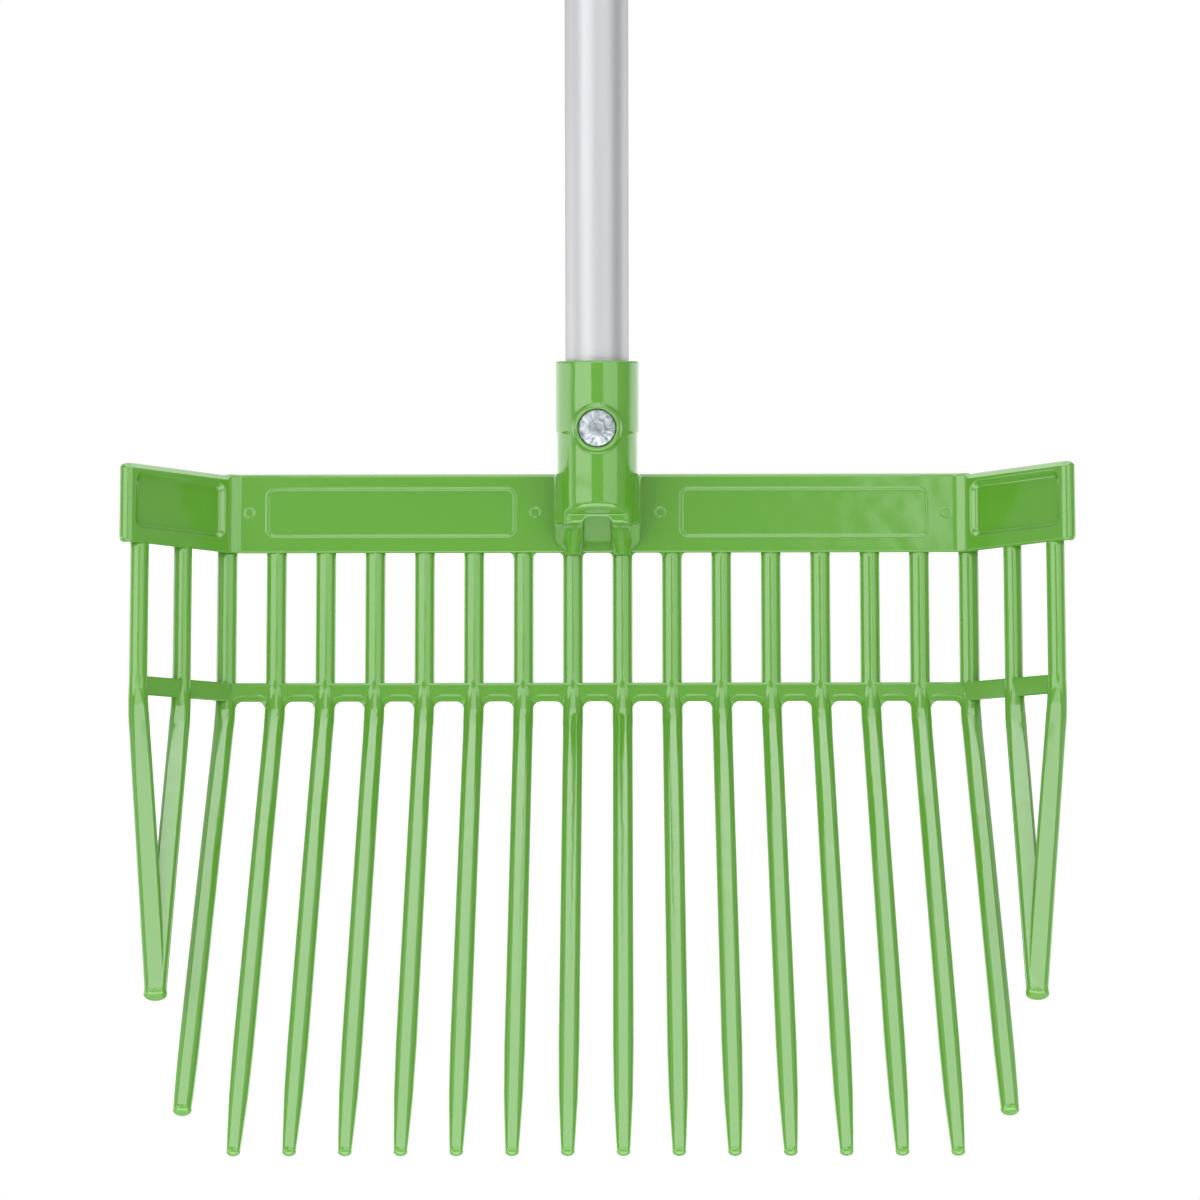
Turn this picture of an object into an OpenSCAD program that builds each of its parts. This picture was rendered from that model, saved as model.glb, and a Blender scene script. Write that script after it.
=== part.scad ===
// Manure fork: a moulded head with a row of bent tines, bolted to a tubular shaft.
// The shaft's axis is Z and the origin is the middle of the socket's mouth.
// The load side of the head faces -Y. Lengths are in millimetres, angles in degrees.
// The head is one moulding: its socket, rail, wings, ribs and tines meet face to face.

/* [Shaft] */
// Outer diameter of the tube
shaft_d = 25.4; // [22:0.1:30]
// Wall of the tube
shaft_wall = 1.5; // [1:0.1:2.5]
// Length of tube above the socket
shaft_reach = 1150; // [400:10:1500]
// How much thinner the drawn-down foot of the tube is
foot_step = 0.6; // [0.4:0.1:1]

/* [End cap] */
// Height of the cap above the tube
cap_h = 6; // [4:0.5:12]
// Rounding of the cap's top edge
cap_round = 3; // [1:0.5:3.5]
// Length of the plug inside the tube
cap_plug_l = 20; // [8:1:40]
// Wall of the plug
cap_plug_wall = 2; // [1:0.5:4]

/* [Socket] */
// Outer diameter of the socket
socket_d = 33.4; // [32:0.1:40]
// Height of the socket above the rail's top
socket_free = 45.9; // [30:0.1:60]
// Height of the socket in front of the rail
socket_over = 15.9; // [12:0.1:29]
// Height of the closed foot under the tube
socket_floor = 9.3; // [7:0.1:14]
// Height of the opening under the foot
cavity_h = 4.9; // [2:0.1:6]
// Wall in front of that opening
lip_wall = 4; // [3:0.1:6]
// Width of the two shoulders that run back to the rail
shoulder_w = 35.7; // [34:0.1:44]
// How far the shoulders reach down the rail
shoulder_drop = 27; // [18:0.5:28]
// How far the thicker rear collar stands out
collar_step = 0.6; // [0.2:0.1:1.5]
// Height of the rear collar
collar_h = 28.5; // [10:0.5:29]
// How far the legs under the socket stand out at their foot
leg_toe = 1; // [0.5:0.1:4]
// How far the legs reach forward of the shaft's axis
leg_reach = 6; // [2:0.5:12]

/* [Clamp bolt] */
// Height of the bolt above the rail's top
bolt_rise = 19.4; // [9:0.1:26]
// Diameter of the bolt
bolt_d = 6; // [5:0.5:7]
// Diameter of the bolt's head
bolt_head_d = 15.2; // [12:0.1:16]
// Height of the bolt's head
bolt_head_h = 3.2; // [2:0.1:4]
// Height of the straight rim of the head
bolt_rim_h = 0.9; // [0.4:0.1:1.5]
// Diameter of the hollow in the head
dimple_d = 6; // [3:0.1:8]
// Depth of that hollow
dimple_depth = 0.4; // [0.2:0.1:0.8]
// Length of the square neck
neck_l = 2.2; // [1:0.1:2.4]
// Length of bolt past the nut
bolt_tail = 2; // [0.5:0.5:8]
// Diameter of the boss around the head
boss_d = 20.2; // [18:0.1:24]
// How far the bosses stand out of the socket
boss_rise = 1.2; // [0.5:0.1:3]
// Depth of the head's seat in the boss
head_seat = 2.8; // [1.5:0.1:3.4]
// Diameter of the rear boss
rear_boss_d = 16; // [14:0.1:18]

/* [Nut and washer] */
// Diameter of the washer
washer_d = 12; // [10:0.1:14]
// Thickness of the washer
washer_t = 1.6; // [0.8:0.1:2.5]
// Width of the nut across its flats
nut_af = 10; // [9.5:0.1:12]
// Height of the nut
nut_h = 6; // [5:0.1:8]
// Diameter of the nylon ring
ring_d = 8.2; // [7.6:0.1:8.8]
// Height of the nylon ring
ring_h = 1.8; // [1:0.1:3]

/* [Rail] */
// Height of the rail
rail_h = 32; // [28:0.1:45]
// Thickness of the rail
rail_t = 7; // [6.4:0.1:10]
// Rounding of the rail's long edges
rail_round = 2.4; // [1:0.1:3]
// Distance of the rail's middle behind the shaft's axis, at its top
rail_setback = 19; // [14:0.1:24]
// Lean of the head's back against the shaft, below zero when its foot lies forward
rail_lean = -10; // [-14:0.5:10]
// Distance from the middle to the inner end of a panel
panel_inner = 33; // [26:0.5:50]
// Distance from a panel's outer end to the fold
panel_outer = 18.5; // [12:0.5:30]
// Margin above and below a panel
panel_margin = 5.8; // [4:0.1:8]
// Depth of a panel
panel_depth = 1.2; // [0.4:0.1:2.5]
// Corner radius of a panel
panel_round = 3.8; // [1:0.1:6]
// Diameter of the round ejector marks
mark_d = 4.6; // [2:0.1:6]
// Depth of the round ejector marks
mark_depth = 0.3; // [0.1:0.1:0.6]
// Distance from the middle to the inner marks
mark_inner = 25.2; // [21:0.1:28]
// Distance from the outer marks to the fold
mark_outer = 9.5; // [6:0.1:14]

/* [Wings] */
// Forward fold of a wing
wing_fold = 45; // [35:1:50]
// Length of a wing from the fold
wing_l = 52.6; // [51:0.1:70]
// Distance from the fold to the pocket
pocket_start = 4; // [3:0.1:8]
// Distance from the pocket to the wing's outer end
pocket_end = 8.5; // [7:0.1:12]
// Margin above and below the pocket
pocket_margin = 5; // [4:0.1:8]
// Depth of the pocket
pocket_depth = 3; // [1:0.1:4.4]
// Corner radius of the pocket
pocket_round = 4; // [1:0.1:6]

/* [Tines] */
// Number of tines between the wings
tine_count = 16; // [8:2:20]
// Spacing of the tines
tine_pitch = 20; // [18:0.1:26]
// Diameter of a tine above the bend
tine_d = 8.5; // [7:0.1:9]
// How much thinner a tine is right below the bend
lower_step = 0.3; // [0.2:0.1:0.6]
// Diameter where the point begins
taper_d = 7.9; // [6.5:0.1:8.4]
// Share of a tine's lower length before the point begins
taper_share = 0.78; // [0.6:0.01:0.9]
// Diameter of a tine's tip
tip_d = 5.3; // [4:0.1:6.4]
// Height of the open windows between rail and cross rib
window_h = 53; // [40:0.5:70]
// Length of a tine below the bend
tine_lower_l = 231; // [160:1:280]
// How much shorter the two corner tines are
corner_short = 19.5; // [5:0.5:40]
// Forward bend of the tines
tine_bend = 41; // [30:1:44]
// Radius of the bend
bend_round = 5; // [4.8:0.1:5.2]
// Diameter of a tine's root in the rail
root_d = 4; // [3:0.1:4.6]
// Depth of a tine's root in the rail
root_l = 5; // [4:0.1:8]
// Distance from the outermost main tine to the fold
fold_gap = 2.8; // [2:0.1:3.5]

/* [Cross rib] */
// Height of the cross rib
rib_h = 7.7; // [6:0.1:12]
// Thickness of the cross rib
rib_t = 5; // [3:0.1:7]
// Height from the rib's foot down to the bend
rib_to_bend = 2.1; // [2.1:0.1:5]

/* [Side tines] */
// Distance from the outer side tine to the wing's end
side_edge = 12; // [9:0.1:14]
// Spacing of the two side tines
side_pitch = 21.8; // [18:0.1:24]
// Diameter of the shared tip
side_tip_d = 8; // [6:0.1:8.4]
// Sideways place of the shared tip, outside the corner tine
side_tip_out = 12.7; // [9:0.1:16]
// Distance from the bend to the shared tip, along the corner tine
side_tip_l = 164; // [120:1:200]
// Height of the shared tip over the main tines
side_tip_rise = 14; // [8:0.5:20]

/* [Hidden] */
// Overrun of every cut past the face it opens
over = 1;
// Clearance between the tube's foot and the bore
foot_gap = 0.05;
// Clearance between the cap's plug and the tube
plug_gap = 0.05;
// Clearance around the bolt's shank
bolt_gap = 0.25;
// Clearance around the bolt's head
head_gap = 0.4;
// Clearance around the square neck
neck_gap = 0.1;
// Clearance in the nut's thread and around its ring
thread_gap = 0.05;
// How far the lower part of a tine reaches into the bend
bend_lap = 0.5;
// Number of steps in a drawn arc
arc_steps = 12;

shaft_r = shaft_d/2;
foot_r = shaft_r - foot_step/2;
tube_r = foot_r - shaft_wall;
socket_l = socket_free + socket_over;
bore_depth = socket_l - socket_floor;
bolt_drop = socket_free - bolt_rise;
front_face = socket_d/2 + boss_rise;
seat_face = front_face - head_seat;
nut_face = front_face + washer_t;
corner_x = (tine_count - 1)/2*tine_pitch;
fold_x = corner_x + fold_gap;
mitre = (rail_t/2 + over)*tan(wing_fold/2);
window_w = tine_pitch - tine_d;
rib_top = rail_h + window_h;
bend_drop = rib_top + rib_h + rib_to_bend;
outer_at = wing_l - side_edge;
inner_at = outer_at - side_pitch;
// A box of this size is larger than the head
head_room = 2*(fold_x + wing_l + tine_lower_l);

head_green = [0.41, 0.66, 0.27];
bare_metal = [0.78, 0.78, 0.77];
zinc = [0.72, 0.73, 0.74];
nylon = [0.85, 0.87, 0.9];

function pad(i) = i < 10 ? str("0", i) : str(i);
function tine_name(i) = str("tine_", pad(i));
function tine_x(i) = (i - 1)*tine_pitch - corner_x;
function tine_lower(i) = tine_lower_l - (i == 1 || i == tine_count ? corner_short : 0);

$fn = 64;

// Frame of the head: its back leans against the shaft, its top edge is at height zero
module in_head() {
  translate([0, rail_setback, -socket_free]) rotate([rail_lean, 0, 0]) children();
}

// The same change of frame for a point in the middle plane, given and returned as [y, z]
function head_point(y, z) = [
  rail_setback + y*cos(rail_lean) - z*sin(rail_lean),
  -socket_free + y*sin(rail_lean) + z*cos(rail_lean)];

// Frame of the right wing: X runs outward along the wing from the fold
module on_wing() {
  translate([fold_x, 0, 0]) rotate([0, 0, -wing_fold]) children();
}

// Frame of the bolt: Z points out of the front of the socket
module on_bolt() {
  translate([0, 0, -bolt_drop]) rotate([90, 0, 0]) children();
}

module rounded_rect(w, h, r) {
  translate([r, 0]) square([w - 2*r, h]);
  translate([0, r]) square([w, h - 2*r]);
  for (x = [r, w - r], y = [r, h - r]) translate([x, y]) circle(r);
}

// Cross section shared by the rail and the wings, with its top at height zero
module rail_section() {
  translate([-rail_t/2, -rail_h]) rounded_rect(rail_t, rail_h, rail_round);
}

module bar(from, to) {
  translate([from, 0, 0]) rotate([90, 0, 90]) linear_extrude(to - from) rail_section();
}

// Plan outline that cuts a bar, drawn past the bar's height
module plan_cut(points) {
  translate([0, 0, -rail_h - over]) linear_extrude(rail_h + 2*over) polygon(points);
}

// Recess in the front face: x is its left end and margin its distance from both long edges
module front_recess(x, w, margin, depth, r) {
  translate([x, depth - rail_t/2, margin - rail_h]) rotate([90, 0, 0])
    linear_extrude(depth + over) rounded_rect(w, rail_h - 2*margin, r);
}

// Root of a tine in the rail or the wing, at a place along it, running on below by the length open
module tine_root(at, open) {
  translate([at, 0, -rail_h - open]) cylinder(d = root_d, h = root_l + open);
}

// Root, straight top, bend and pointed lower part of a tine
module tine_rod(bend, lower, tip) {
  tangent = bend_round*tan(bend/2);
  straight = bend_drop - rail_h - tangent;
  lower_straight = lower - tangent;
  tip_r = tip/2;
  tine_root(0, root_l);
  translate([0, 0, -rail_h - straight]) {
    cylinder(d = tine_d, h = straight);
    translate([0, -bend_round, 0]) {
      rotate([0, -90, 0]) rotate([0, 0, 90]) rotate_extrude(angle = bend)
        translate([bend_round, 0]) circle(d = tine_d);
      rotate([-bend, 0, 0]) translate([0, bend_round, 0]) rotate([180, 0, 0]) rotate_extrude()
        polygon(concat(
          [[0, -bend_lap], [(tine_d - lower_step)/2, -bend_lap], [taper_d/2, lower_straight*taper_share]],
          [for (k = [0:arc_steps])
            [tip_r*cos(90*k/arc_steps), lower_straight - tip_r + tip_r*sin(90*k/arc_steps)]]));
    }
  }
}

// The cross rib runs through the tines, and ends in the middle of the two corner tines
module rib_bar() {
  translate([-corner_x, -rib_t/2, -rib_top - rib_h]) cube([2*corner_x, rib_t, rib_h]);
}

module main_tine(i) {
  in_head() difference() {
    translate([tine_x(i), 0, 0]) tine_rod(tine_bend, tine_lower(i), tip_d);
    rib_bar();
  }
}

// Places of the right wing's side tines, in the head's frame
function side_root(at) = [fold_x + at*cos(wing_fold), -at*sin(wing_fold), -bend_drop];
side_tip = [
  corner_x + side_tip_out,
  -side_tip_l*sin(tine_bend) - side_tip_rise*cos(tine_bend),
  -bend_drop - side_tip_l*cos(tine_bend) + side_tip_rise*sin(tine_bend)];
function side_run(at) = side_tip - side_root(at);
function side_dir(at) = side_run(at)/norm(side_run(at));

module side_rod(at) {
  run = side_run(at);
  translate([side_root(at).x, side_root(at).y, 0]) rotate([0, 0, atan2(run.x, -run.y)])
    tine_rod(atan2(norm([run.x, run.y]), -run.z), norm(run) + side_tip_d/2, side_tip_d);
}

// Block on the far side of the plane through the shared tip, facing along the direction away
module tip_cut(away) {
  translate(side_tip) rotate([0, acos(away.z), atan2(away.y, away.x)])
    translate([-side_tip_l/2, -side_tip_l/2, 0]) cube(side_tip_l);
}

// Right side tine at a distance along the wing, cut where it runs into the one beside it
module right_side_tine(at, beside) {
  turn = side_dir(at) - side_dir(beside);
  in_head() difference() {
    side_rod(at);
    tip_cut(turn/norm(turn));
    wing_rib_bar();
  }
}

// Everything behind the front plane of the rail
module behind_rail() {
  in_head() translate([-head_room/2, -rail_t/2, -head_room/2]) cube(head_room);
}

module socket_tube() {
  translate([0, 0, -socket_l]) cylinder(d = socket_d, h = socket_l);
}

module right_wing() {
  in_head() on_wing() difference() {
    intersection() {
      union() {
        bar(-mitre, wing_l - rail_t/2);
        translate([wing_l - rail_t/2, 0, 0]) rotate_extrude() intersection() {
          rail_section();
          translate([0, -rail_h]) square([rail_t, rail_h]);
        }
      }
      plan_cut([
        [mitre, -rail_t/2 - over], [wing_l + over, -rail_t/2 - over],
        [wing_l + over, rail_t/2 + over], [-mitre, rail_t/2 + over]]);
    }
    front_recess(pocket_start, wing_l - pocket_start - pocket_end, pocket_margin,
      pocket_depth, pocket_round);
    for (at = [inner_at, outer_at]) tine_root(at, over);
  }
}

// The wing's rib runs through the inner side tine, to the middle of the outer one
module wing_rib_bar() {
  difference() {
    on_wing() translate([-fold_gap, -rib_t/2, -rib_top - rib_h]) cube([outer_at + fold_gap, rib_t, rib_h]);
    translate([corner_x, 0, -bend_drop]) cylinder(d = tine_d, h = bend_drop - rail_h);
  }
}

module shaft() {
  color(bare_metal) difference() {
    union() {
      cylinder(r = shaft_r, h = shaft_reach);
      translate([0, 0, -bore_depth]) cylinder(r = foot_r, h = bore_depth);
    }
    translate([0, 0, -bore_depth - over]) cylinder(r = tube_r, h = bore_depth + shaft_reach + 2*over);
    on_bolt() translate([0, 0, -shaft_d]) cylinder(d = bolt_d + 2*bolt_gap, h = 2*shaft_d);
  }
}

module end_cap() {
  plug_r = tube_r - plug_gap;
  plug_in = plug_r - cap_plug_wall;
  color(head_green) translate([0, 0, shaft_reach]) rotate_extrude() polygon(concat(
    [[0, 0], [plug_in, 0], [plug_in, -cap_plug_l], [plug_r, -cap_plug_l], [plug_r, 0], [shaft_r, 0]],
    [for (k = [0:arc_steps])
      [shaft_r - cap_round + cap_round*cos(90*k/arc_steps), cap_h - cap_round + cap_round*sin(90*k/arc_steps)]],
    [[0, cap_h]]));
}

module socket() {
  cavity_w = window_w;
  foot = head_point(-rail_t/2 - leg_toe, -rail_h);
  heel = head_point(0, -rail_h);
  shoulder_foot = head_point(-rail_t/2, -shoulder_drop);
  deep = 2*rail_setback;
  neck_w = bolt_d + 2*neck_gap;
  color(head_green) difference() {
    union() {
      socket_tube();
      intersection() {
        translate([0, 0, -collar_h]) cylinder(d = socket_d + 2*collar_step, h = collar_h);
        translate([-socket_d, 0, -collar_h]) cube([2*socket_d, socket_d, collar_h]);
      }
      on_bolt() cylinder(d = boss_d, h = front_face);
      on_bolt() translate([0, 0, -front_face]) cylinder(d = rear_boss_d, h = front_face);
      difference() {
        union() {
          translate([-shoulder_w/2, 0, 0]) rotate([90, 0, 90]) linear_extrude(shoulder_w) polygon([
            [0, -socket_free], [0, -socket_l], shoulder_foot, [deep, shoulder_foot.y], [deep, -socket_free]]);
          for (side = [-1, 1]) translate([side*tine_pitch/2 - tine_d/2, 0, 0])
            rotate([90, 0, 90]) linear_extrude(tine_d)
              polygon([[-leg_reach, -socket_l], [heel.x, -socket_l], heel, foot]);
        }
        behind_rail();
      }
    }
    translate([0, 0, -bore_depth]) cylinder(r = foot_r + foot_gap, h = bore_depth + over);
    on_bolt() translate([0, 0, -front_face - over]) cylinder(d = bolt_d + 2*bolt_gap, h = 2*front_face);
    on_bolt() translate([0, 0, seat_face]) cylinder(d = bolt_head_d + 2*head_gap, h = head_seat + over);
    on_bolt() translate([-neck_w/2, -neck_w/2, seat_face - neck_l]) cube([neck_w, neck_w, neck_l + over]);
    difference() {
      translate([-cavity_w/2, lip_wall - socket_d/2, heel.y - over])
        cube([cavity_w, deep, cavity_h - socket_l - heel.y + over]);
      behind_rail();
    }
  }
}

module clamp_bolt() {
  dome_h = bolt_head_h - bolt_rim_h;
  head_r = bolt_head_d/2;
  dome_r = (head_r*head_r + dome_h*dome_h)/(2*dome_h);
  function dome_at(x) = bolt_head_h - dome_r + sqrt(dome_r*dome_r - x*x);
  tail = nut_face + nut_h + bolt_tail;
  color(zinc) on_bolt() {
    translate([0, 0, seat_face]) rotate_extrude() polygon(concat(
      [[0, 0], [head_r, 0]],
      [for (k = [0:arc_steps])
        let (x = head_r + (dimple_d/2 - head_r)*k/arc_steps) [x, dome_at(x)]],
      [[dimple_d/2, dome_at(dimple_d/2) - dimple_depth], [0, dome_at(dimple_d/2) - dimple_depth]]));
    translate([-bolt_d/2, -bolt_d/2, seat_face - neck_l]) cube([bolt_d, bolt_d, neck_l]);
    translate([0, 0, -tail]) cylinder(d = bolt_d, h = tail + seat_face);
  }
}

module washer() {
  color(zinc) on_bolt() translate([0, 0, -nut_face]) difference() {
    cylinder(d = washer_d, h = washer_t);
    translate([0, 0, -over]) cylinder(d = bolt_d + 2*bolt_gap, h = washer_t + 2*over);
  }
}

module lock_nut() {
  color(zinc) on_bolt() translate([0, 0, -nut_face - nut_h]) difference() {
    cylinder(d = nut_af/cos(30), h = nut_h, $fn = 6);
    translate([0, 0, -over]) cylinder(d = bolt_d + 2*thread_gap, h = nut_h + 2*over);
    translate([0, 0, -over]) cylinder(d = ring_d, h = ring_h + over);
  }
}

module nut_ring() {
  color(nylon) on_bolt() translate([0, 0, -nut_face - nut_h]) difference() {
    cylinder(d = ring_d, h = ring_h);
    translate([0, 0, -over]) cylinder(d = bolt_d + 2*thread_gap, h = ring_h + 2*over);
  }
}

module rail() {
  panel_l = fold_x - panel_inner - panel_outer;
  color(head_green) difference() {
    in_head() difference() {
      intersection() {
        bar(-fold_x - mitre, fold_x + mitre);
        plan_cut([
          [mitre - fold_x, -rail_t/2 - over], [fold_x - mitre, -rail_t/2 - over],
          [fold_x + mitre, rail_t/2 + over], [-fold_x - mitre, rail_t/2 + over]]);
      }
      for (x = [panel_inner, -panel_inner - panel_l])
        front_recess(x, panel_l, panel_margin, panel_depth, panel_round);
      for (side = [-1, 1], x = [mark_inner, fold_x - mark_outer])
        translate([side*x, mark_depth - rail_t/2, -rail_h/2]) rotate([90, 0, 0])
          cylinder(d = mark_d, h = mark_depth + over);
      for (i = [1:tine_count]) tine_root(tine_x(i), over);
    }
    socket_tube();
  }
}

module wing_left() { color(head_green) mirror([1, 0, 0]) right_wing(); }

module wing_right() { color(head_green) right_wing(); }

module cross_rib() { color(head_green) in_head() rib_bar(); }

module wing_rib_left() { color(head_green) mirror([1, 0, 0]) in_head() wing_rib_bar(); }

module wing_rib_right() { color(head_green) in_head() wing_rib_bar(); }

module side_tine_left_outer() { color(head_green) mirror([1, 0, 0]) right_side_tine(outer_at, inner_at); }

module side_tine_left_inner() { color(head_green) mirror([1, 0, 0]) right_side_tine(inner_at, outer_at); }

module side_tine_right_inner() { color(head_green) right_side_tine(inner_at, outer_at); }

module side_tine_right_outer() { color(head_green) right_side_tine(outer_at, inner_at); }

module tine(i) { color(head_green) main_tine(i); }

shaft();
end_cap();
socket();
clamp_bolt();
washer();
lock_nut();
nut_ring();
rail();
wing_left();
wing_right();
cross_rib();
wing_rib_left();
wing_rib_right();
side_tine_left_outer();
side_tine_left_inner();
side_tine_right_inner();
side_tine_right_outer();
for (i = [1:tine_count]) tine(i);
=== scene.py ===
import math

import bmesh
import bpy
import numpy as np
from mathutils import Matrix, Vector


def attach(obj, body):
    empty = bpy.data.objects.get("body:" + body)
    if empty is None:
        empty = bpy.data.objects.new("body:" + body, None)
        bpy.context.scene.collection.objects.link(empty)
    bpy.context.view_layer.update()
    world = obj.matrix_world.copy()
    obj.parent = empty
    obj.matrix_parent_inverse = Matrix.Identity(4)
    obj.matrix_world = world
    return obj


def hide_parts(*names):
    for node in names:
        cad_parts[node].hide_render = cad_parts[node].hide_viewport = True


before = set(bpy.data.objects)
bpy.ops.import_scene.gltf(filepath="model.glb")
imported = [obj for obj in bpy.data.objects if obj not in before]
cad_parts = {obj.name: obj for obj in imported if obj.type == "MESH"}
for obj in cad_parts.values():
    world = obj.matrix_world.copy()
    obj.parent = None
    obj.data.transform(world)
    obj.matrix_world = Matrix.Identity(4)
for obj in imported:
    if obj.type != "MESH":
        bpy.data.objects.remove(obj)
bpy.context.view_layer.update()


# Rail and wings: the back bar of the fork's head, with a wing folded forward at either end.
# Glossy green plastic, moulded in one piece with the socket and the tines. Two shallow panels
# and two deeper wing pockets are sunk in its load side, and ejector pins left round marks.
rail_h, rail_t, rail_round = 32.4, 7.0, 2.4
rail_face_round, foot_round = 1.5, 0.9
wing_bevel, wing_drop, bevel_run = 2.2, 0.6, 1.6
# How far across the bevel the points of its profile stand
bevel_shares = (0, 0.05, 0.2, 0.5, 0.8, 0.95, 1)
rail_setback, rail_drop, lean = 19.0, 45.9, math.radians(-10)
fold_x, fold_turn, fold_r = 148.55, math.radians(45), 8.5
wing_reach = 56.1
front = -rail_t/2
fold_trim = (front - fold_r)*math.tan(fold_turn/2)
fold_start = fold_x + fold_trim
fold_run = fold_r*fold_turn
fold_end = fold_start + fold_run
wing_end = fold_end + wing_reach + fold_trim


def from_head(points):
    """Points of the leaning head, whose top edge is at height zero, put against the shaft."""
    p = np.asarray(points, float)
    return np.stack([
        p[:, 0],
        rail_setback + p[:, 1]*math.cos(lean) - p[:, 2]*math.sin(lean),
        -rail_drop + p[:, 1]*math.sin(lean) + p[:, 2]*math.cos(lean)], 1)


def folded(points):
    """Points of the flat bar (along, depth behind its face, height) bent at both folds."""
    p = np.asarray(points, float)
    side = np.sign(p[:, 0])
    along = np.abs(p[:, 0])
    turn = np.clip((along - fold_start)/fold_r, 0, fold_turn)
    rest = np.maximum(along - fold_end, 0)
    inner = np.minimum(along, fold_start)
    x = inner + (fold_r + p[:, 1])*np.sin(turn) + rest*np.cos(turn)
    y = front - fold_r + (fold_r + p[:, 1])*np.cos(turn) - rest*np.sin(turn)
    return np.stack([side*x, y, p[:, 2]], 1)


def piece(name, points, faces, slot, *nodes, crease=None):
    """A closed mesh in millimetres that rides on the fork and stands for these solids."""
    mesh = bpy.data.meshes.new(name)
    mesh.from_pydata((np.asarray(points, float)/1000).tolist(), [], faces)
    work = bmesh.new()
    work.from_mesh(mesh)
    bmesh.ops.remove_doubles(work, verts=work.verts, dist=1e-6)
    bmesh.ops.recalc_face_normals(work, faces=work.faces)
    work.to_mesh(mesh)
    work.free()
    mesh.shade_smooth()
    if crease is not None:
        mesh.set_sharp_from_angle(angle=math.radians(crease))
    made = bpy.data.objects.new(name, mesh)
    bpy.context.scene.collection.objects.link(made)
    weigh = made.modifiers.new("even", "WEIGHTED_NORMAL")
    weigh.keep_sharp = True
    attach(made, "root")
    if nodes:
        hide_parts(*nodes)
    return made


def rounded_ring(x0, x1, z0, z1, r, inset, steps=8):
    """Corner points of a rounded rectangle, drawn in by inset, always the same number."""
    r = max(r - inset, 0.05)
    corners = [(x1 - inset - r, z1 - inset - r, 0), (x0 + inset + r, z1 - inset - r, 90),
               (x0 + inset + r, z0 + inset + r, 180), (x1 - inset - r, z0 + inset + r, 270)]
    return [(cx + r*math.cos(math.radians(a + 90*k/steps)), cz + r*math.sin(math.radians(a + 90*k/steps)))
            for cx, cz, a in corners for k in range(steps + 1)]


def bar_profile(u, facing):
    """Half of the bar's section at a place along it, from the middle of its top to that of its foot.
    The edges are round, small on the face, and the top of a wing's face has a bevel instead."""
    wing = np.clip((abs(u) - fold_end + bevel_run)/bevel_run, 0, 1)
    face = max(-facing, 0)
    top_r = rail_round + (rail_face_round + (wing_bevel - rail_face_round)*wing - rail_round)*face
    foot_r = rail_round + (foot_round - rail_round)*face
    arc = [(math.cos(math.radians(90 - 15*k)), math.sin(math.radians(90 - 15*k))) for k in range(7)]
    top = [(out + (share - out)*wing*face, up + (1 - share - up)*wing*face)
           for (out, up), share in zip(arc, bevel_shares)]
    return ([(0, -wing_drop*wing)]
            + [(rail_t/2 - top_r + top_r*out, top_r*(up - 1) - wing_drop*wing) for out, up in top]
            + [(rail_t/2 - foot_r + foot_r*out, foot_r*(1 - up) - rail_h) for out, up in reversed(arc)]
            + [(0, -rail_h)])


# Each relief from its rim inward: how far in, and how deep below the face
rail_panel = [(-0.35, 0), (0, 0), (0.15, -0.1), (0.3, -0.17), (0.45, -0.19), (0.6, -0.15), (0.75, -0.02),
              (0.95, 0.2), (1.2, 0.32), (1.5, 0.35), (1.9, 0.35)]
pin_mark = [(-0.3, 0), (0, 0), (0.15, -0.07), (0.3, -0.1), (0.45, -0.05), (0.6, 0.05), (0.8, 0.08),
            (1.1, 0.08)]
wall_turn, rim_r, wall_l, sole_r = math.radians(50), 1.2, 1.3, 1.6
wall_arc = [wall_turn*k/6 for k in range(7)]
sole_in = rim_r*math.sin(wall_turn) + wall_l*math.cos(wall_turn) + sole_r*math.sin(wall_turn)
sole_deep = (rim_r + sole_r)*(1 - math.cos(wall_turn)) + wall_l*math.sin(wall_turn)
wing_pocket = [(-0.3, 0)]
wing_pocket += [(rim_r*math.sin(a), rim_r*(1 - math.cos(a))) for a in wall_arc]
wing_pocket += [(sole_in - sole_r*math.sin(a), sole_deep - sole_r*(1 - math.cos(a)))
                for a in reversed(wall_arc)]
wing_pocket += [(sole_in + 0.4, sole_deep)]

panel_x, panel_z, panel_corner = (33.0, 134.3), [-26.2, -5.8], 3.8
pocket_x, pocket_z, pocket_corner = (fold_end + 0.6, wing_end - 4.3), [-27.4, -3.6], 4.5
pin_x, pin_z, pin_r = (25.2, 140.8), -16.0, 2.3
recesses = []
for side in (-1, 1):
    recesses.append((sorted(side*x for x in panel_x) + panel_z, panel_corner, rail_panel))
    recesses.append((sorted(side*x for x in pocket_x) + pocket_z, pocket_corner, wing_pocket))
    for x in pin_x:
        recesses.append(([side*x - pin_r, side*x + pin_r, pin_z - pin_r, pin_z + pin_r], pin_r, pin_mark))

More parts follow.
